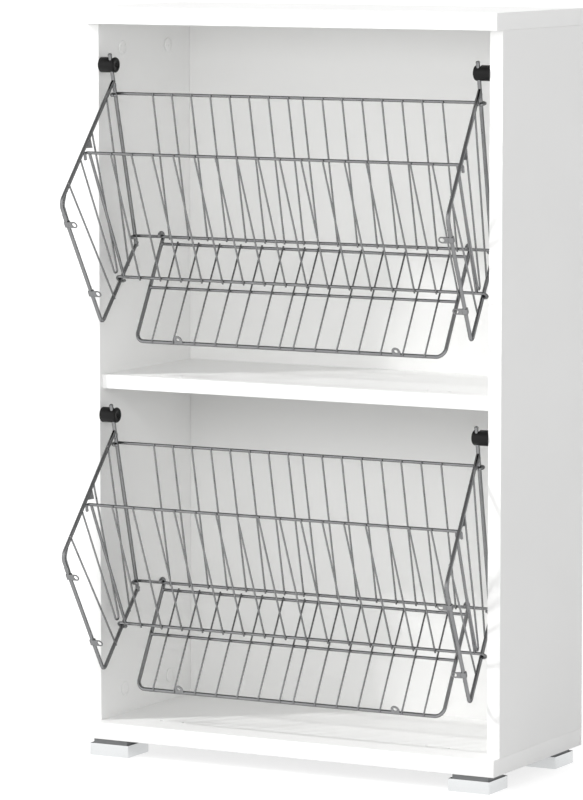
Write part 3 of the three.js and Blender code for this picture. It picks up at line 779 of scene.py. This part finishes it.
def side_frame_mesh():
    """The left side frame in the plane x = 0, with the eyes of its lugs towards +x."""
    bm = bmesh.new()
    stem = (TOP - REAR).normalized()
    tip = TOP + stem * ((STEM_TIP - TOP.y) / stem.y)
    foot = REAR - stem * (3 / stem.y)
    tube(bm, [in_plane(tip - stem), in_plane(foot)], STOUT, 18, (0.75, 0.5))
    lathe(bm, [(0, -1.6), *fillet((1.6, -0.4), 1.25, -90, 90, 6), (0, 0.9)], 18,
          Matrix.Translation(in_plane(tip - stem * 0.9)) @ Matrix.Rotation(
              math.atan2(-stem.x, stem.y), 4, "X"))
    outline = rounded([in_plane(TOP), in_plane(FRONT), in_plane(LOW), in_plane(LOW.lerp(REAR, 1.02))],
                      FRAME_BENDS)
    tube(bm, outline, STOUT, 18, (0.3, 0.5))
    blob(bm, in_plane(TOP.lerp(REAR, 0.03)), (2.7, 3.4, 5.4))
    blob(bm, in_plane(REAR), (2.8, 3.2, 4.2))
    # the upper wire's thin tail runs down beside the front wire, into the first lug's collar
    inward = in_plane(Vector((LOW.y - FRONT.y, FRONT.x - LOW.x)).normalized() * -1)
    spots = (FRONT.lerp(TOP, 0.1), FRONT.lerp(LOW, 0.03), FRONT.lerp(LOW, 0.15))
    tail = [in_plane(spot) + inward * offset for spot, offset in zip(spots, TAIL["offsets"])]
    tube(bm, rounded(tail, [TAIL["bend"]]), THIN, 10)
    sleeve = [in_plane(FRONT.lerp(LOW, SLEEVE[end])) for end in ("start", "end")]
    tube(bm, sleeve, STOUT + SLEEVE["wall"], 18, (0.35, 0.35))

    for upper, lower in SIDE_FILLING:
        welded(bm, in_plane(LOW.lerp(REAR, lower)), in_plane(TOP.lerp(FRONT, upper)), (INSIDE, 0, 0))
    start, end = TOP.lerp(FRONT, HAIRPIN["rear"]), TOP.lerp(FRONT, HAIRPIN["front"])
    low_left = Vector((HAIRPIN["y"] - HAIRPIN["half"], HAIRPIN["height"]))
    low_right = Vector((HAIRPIN["y"] + HAIRPIN["half"], HAIRPIN["height"]))
    corners = [in_plane(point, INSIDE) for point in (start, low_right, low_left, end)]
    tube(bm, rounded(corners, [HAIRPIN["bend"]] * 2), THIN, 10)
    for spot in (start, end):
        blob(bm, in_plane(spot, INSIDE), Vector((1.7, 1.7, 1.7)))
    corner = TOP.lerp(FRONT, GUSSET["front"])
    rear = TOP.lerp(FRONT, GUSSET["rear"])
    gusset = [in_plane(rear), in_plane(corner), in_plane(corner + Vector((GUSSET["reach"], 0)))]
    half = Vector((PLATE / 2, 0, 0))
    loft(bm, [[p - half for p in gusset], [p + half for p in gusset]])
    for share in LUG_PLACES:
        lug(bm, share)
    bmesh.ops.recalc_face_normals(bm, faces=bm.faces)
    return bm


def make_side_frame(level, side_name):
    side = SIDES[side_name]
    place = (at_level(level) @ Matrix.Translation((side * FRAME_HALF, 0, 0))
             @ Matrix.Rotation(side * TOE_IN, 4, "Z") @ Matrix.Diagonal((-side, 1, 1, 1)))
    piece(f"{level}_frame_{side_name}", side_frame_mesh(), place, CHROME_WIRE, f"basket_{level}",
          [f"{level}_side_frame_{side_name}"])


def hook(x, side, centre, normal, steps=20):
    """The end of a rail, wrapped round a side wire."""
    points = []
    for i in range(1, steps + 1):
        angle = math.radians(RAIL_HOOK_TURN) * i / steps
        out = normal * (REACH * math.cos(angle))
        points.append(Vector((side * (x + REACH * math.sin(angle)), centre.x + out.x, centre.y + out.y)))
    return points


def rail_place(start, end, height, inward):
    """The middle of a rail that lies against the side frames' wires at a height, and its half length."""
    centre = on_wire(start, end, height)
    slope = (end - start).normalized()
    return centre + Vector((slope.y, -slope.x)) * (inward * REACH), side_half(centre.x)


def hooked_rail(bm, start, end, height, inward):
    """A rail that hooks round the side frames' wires at a height. Returns its middle and half length."""
    centre = on_wire(start, end, height)
    slope = (end - start).normalized()
    normal = Vector((slope.y, -slope.x)) * inward
    at, x = rail_place(start, end, height, inward)
    path = [*reversed(hook(x, -1, centre, normal)), in_plane(at, -x), in_plane(at, x),
            *hook(x, 1, centre, normal)]
    tube(bm, path, RAIL, 16)
    return at, x


def fill(bm, start, end, off, count, first, pitch):
    """Filling wires on both sides of the middle, at x = first, first + pitch, and so on."""
    for side in (-1, 1):
        for i in range(count):
            x = side * (first + pitch * i)
            welded(bm, in_plane(start, x), in_plane(end, x), off, over=2.2)


def facing(start, end, size):
    """A vector of that size square to the grid from start up to end, towards the front."""
    slope = (end - start).normalized()
    return in_plane(Vector((-slope.y, slope.x)) * size)


def make_rear_grid(level):
    bm = bmesh.new()
    upper, _ = hooked_rail(bm, REAR, TOP, RAIL_HEIGHTS["rear_top"], 1)
    lower, _ = hooked_rail(bm, REAR, TOP, RAIL_HEIGHTS["rear_low"], 1)
    fill(bm, lower, upper, facing(lower, upper, RAIL + THIN - SINK), **REAR_FILLING)
    grid_piece(level, "rear_grid", bm)


def make_front_grid(level):
    bm = bmesh.new()
    upper, upper_half = rail_place(FRONT, TOP, RAIL_HEIGHTS["front_top"], 1)
    drop = upper + Vector((TIP["back"], -TIP["drop"]))
    ends = [in_plane(drop, -upper_half), in_plane(upper, -upper_half), in_plane(upper, upper_half),
            in_plane(drop, upper_half)]
    tube(bm, rounded(ends, [TIP["bend"]] * 2), RAIL, 16)
    lower, lower_half = hooked_rail(bm, LOW, REAR, RAIL_HEIGHTS["front_low"], -1)
    for side in (-1, 1):
        bar = [in_plane(upper, side * (upper_half - SIDE_BAR_INSET)),
               in_plane(lower, side * (lower_half - SIDE_BAR_INSET))]
        tube(bm, bar, RAIL, 14)
    fill(bm, lower, upper, facing(lower, upper, RAIL + THIN - SINK), **FRONT_FILLING)
    grid_piece(level, "front_grid", bm)


def make_floor_grid(level):
    """A sloping U of stout wire that hooks over the rear grid's lower rail."""
    bm = bmesh.new()
    slope = (TOP - REAR).normalized()
    rail = on_wire(REAR, TOP, RAIL_HEIGHTS["rear_low"]) + Vector((slope.y, -slope.x)) * REACH
    rise = (FLOOR_HIGH - FLOOR_LOW).normalized()
    normal = Vector((rise.y, -rise.x))
    curl = []
    steps = 18
    for i in range(steps + 1):
        angle = math.radians(FLOOR_HOOK_TURN) * i / steps
        curl.append(rail + normal * (REACH * math.cos(angle)) + rise * (REACH * math.sin(angle)))
    corners = [in_plane(curl[0], -FLOOR_HALF), in_plane(FLOOR_LOW, -FLOOR_HALF),
               in_plane(FLOOR_LOW, FLOOR_HALF), in_plane(curl[0], FLOOR_HALF)]
    path = [*[in_plane(p, -FLOOR_HALF) for p in reversed(curl[1:])], *rounded(corners, [FLOOR_BEND] * 2),
            *[in_plane(p, FLOOR_HALF) for p in curl[1:]]]
    tube(bm, path, STOUT, 18)
    top, waist = [FLOOR_LOW.lerp(curl[0], share) for share in CROSS_RAILS]
    for at in (top, waist):
        tube(bm, [in_plane(at, -FLOOR_HALF), in_plane(at, FLOOR_HALF)], RAIL, 14)
        for side in (-1, 1):
            blob(bm, in_plane(at, side * (FLOOR_HALF - 1.5)), (3.0, 2.4, 2.4))
    fill(bm, FLOOR_LOW, top, facing(FLOOR_LOW, top, RAIL + THIN - SINK), **FLOOR_FILLING)
    for side in (-1, 1):
        floor_tab(bm, side)
    bmesh.ops.recalc_face_normals(bm, faces=bm.faces)
    grid_piece(level, "floor_grid", bm)


def floor_tab(bm, side):
    """A small eye plate that stands above the floor grid's front wire."""
    count = 12
    radius = TAB["radius"]
    angles = [math.pi * i / count for i in range(count + 1)]
    arch = [Vector((radius * math.cos(a), 0, radius + radius * math.sin(a))) for a in angles]
    outline = [Vector((radius, 0, 0)), *arch, Vector((-radius, 0, 0))]
    tab = bmesh.new()
    plate(tab, outline, Vector((0, 0, TAB["hole_at"])), TAB["hole"], PLATE)
    tab.transform(Matrix.Translation(in_plane(FLOOR_LOW, side * FLOOR_TABS_X))
                  @ Matrix.Rotation(LEAN, 4, "X") @ Matrix.Translation((0, -STOUT + PLATE / 2, 0)))
    join(bm, tab)


def grid_piece(level, node, bm):
    name = f"{level}_{node}"
    piece(name + "_wires", bm, at_level(level), CHROME_WIRE, f"basket_{level}", [name])


# ---- The stage ----
def stage_material():
    """A pale matt floor that also glows, so that it shows little shadow. The matt surfaces get back the
    light of a greyer floor, which does not glow."""
    material, tree, shader = new_material("pale_floor")
    set_inputs(shader, Base_Color=(0.4, 0.4, 0.4, 1), Roughness=0.85, Emission_Color=(1, 1, 1, 1),
               Emission_Strength=0.75)
    bounce = tree.nodes.new("ShaderNodeBsdfDiffuse")
    bounce.inputs["Color"].default_value = (0.47, 0.47, 0.47, 1)
    seen = tree.nodes.new("ShaderNodeLightPath")
    either = tree.nodes.new("ShaderNodeMixShader")
    tree.links.new(seen.outputs["Is Diffuse Ray"], either.inputs["Fac"])
    tree.links.new(shader.outputs["BSDF"], either.inputs[1])
    tree.links.new(bounce.outputs["BSDF"], either.inputs[2])
    tree.links.new(either.outputs["Shader"], tree.nodes["Material Output"].inputs["Surface"])
    return material


def make_stage():
    """A pale floor that curves up into a wall far behind."""
    half, front, back, rise, radius = 14.0, -10.0, 12.0, 12.0, 3.0
    path = [(front, 0.0), (back - radius, 0.0)]
    for i in range(1, 13):
        angle = math.radians(90) * i / 12
        path.append((back - radius + radius * math.sin(angle), radius - radius * math.cos(angle)))
    path.append((back, rise))
    bm = bmesh.new()
    rows = [[bm.verts.new((x, y, z)) for x in (-half, half)] for y, z in path]
    for near, far in zip(rows, rows[1:]):
        bm.faces.new((near[0], near[1], far[1], far[0]))
    mesh = bpy.data.meshes.new("studio_floor")
    bm.to_mesh(mesh)
    bm.free()
    mesh.materials.append(stage_material())
    mesh.polygons.foreach_set("use_smooth", [True] * len(mesh.polygons))
    floor = bpy.data.objects.new("studio_floor", mesh)
    bpy.context.scene.collection.objects.link(floor)


KEY_TRAVEL = Vector((0.79, 0.61, 0))  # level direction of the key's light
KEY_HEIGHT = 38  # degrees above the floor
FILL_AT = (0.25, -1.25, 0.95)
FILL_AIM = Vector((0.05, 0.1, 0.8))


def make_lights():
    world = bpy.data.worlds.new("studio")
    bpy.context.scene.world = world
    world.use_nodes = True
    tree = world.node_tree
    background = tree.nodes["Background"]
    background.inputs["Color"].default_value = (1, 1, 1, 1)
    # a broad light in front and to the left, fading round to the back and up to a dim ceiling
    direction = tree.nodes.new("ShaderNodeTexCoord").outputs["Generated"]
    ahead = tree.nodes.new("ShaderNodeVectorMath")
    ahead.operation = "DOT_PRODUCT"
    ahead.inputs[1].default_value = Vector((-0.3, -0.9, 0.25)).normalized()
    tree.links.new(direction, ahead.inputs[0])
    height = tree.nodes.new("ShaderNodeSeparateXYZ")
    tree.links.new(direction, height.inputs[0])
    strength = tree.nodes.new("ShaderNodeMath")
    strength.operation = "MULTIPLY"
    tree.links.new(spread(tree, ahead.outputs["Value"], 0.86, 1.5, -1, 1), strength.inputs[0])
    tree.links.new(spread(tree, height.outputs["Z"], 1.0, 0.3, 0.35, 0.8), strength.inputs[1])
    tree.links.new(strength.outputs["Value"], background.inputs["Strength"])
    data = bpy.data.lights.new("key", "SUN")
    data.energy = 1.9
    data.angle = math.radians(5)
    key = bpy.data.objects.new("key", data)
    travel = KEY_TRAVEL.normalized() * math.cos(math.radians(KEY_HEIGHT))
    travel.z = -math.sin(math.radians(KEY_HEIGHT))
    key.rotation_euler = travel.to_track_quat("-Z", "Y").to_euler()
    key.visible_glossy = False  # the wires mirror the studio, without the key's glare
    bpy.context.scene.collection.objects.link(key)
    # a soft box close in front of the upper compartment
    data = bpy.data.lights.new("fill", "AREA")
    data.shape = "RECTANGLE"
    data.size, data.size_y = 1.1, 0.5
    data.energy = 5.5
    fill_light = bpy.data.objects.new("fill", data)
    fill_light.location = FILL_AT
    aim = FILL_AIM - fill_light.location
    fill_light.rotation_euler = aim.to_track_quat("-Z", "Y").to_euler()
    fill_light.visible_camera = False
    fill_light.visible_glossy = False
    bpy.context.scene.collection.objects.link(fill_light)


def make_camera():
    data = bpy.data.cameras.new("camera")
    data.sensor_fit = "VERTICAL"
    data.sensor_height = 36
    data.lens = 213.96
    data.clip_end = 100
    camera = bpy.data.objects.new("camera", data)
    camera.location = (2.8703, -5.3882, 1.1546)
    yaw, pitch = math.radians(28.334), math.radians(-6.333)
    forward = Vector((-math.sin(yaw) * math.cos(pitch), math.cos(yaw) * math.cos(pitch), math.sin(pitch)))
    camera.rotation_euler = forward.to_track_quat("-Z", "Y").to_euler()
    bpy.context.scene.collection.objects.link(camera)
    bpy.context.scene.camera = camera


make_boards()
for cam_name in CAM_NODES:
    make_cam(cam_name)
    make_cap(cam_name)
    make_bolt(cam_name)
for dowel_name in DOWEL_NODES:
    make_dowel(dowel_name)
for side_name in SIDES:
    for place_name in PLACES:
        make_foot(f"{side_name}_{place_name}")
for level_name in LEVELS:
    for side_name in SIDES:
        make_stop(level_name, side_name)
        make_side_frame(level_name, side_name)
    make_rear_grid(level_name)
    make_front_grid(level_name)
    make_floor_grid(level_name)
make_stage()
make_lights()
make_camera()
bpy.context.scene.view_settings.view_transform = "Standard"
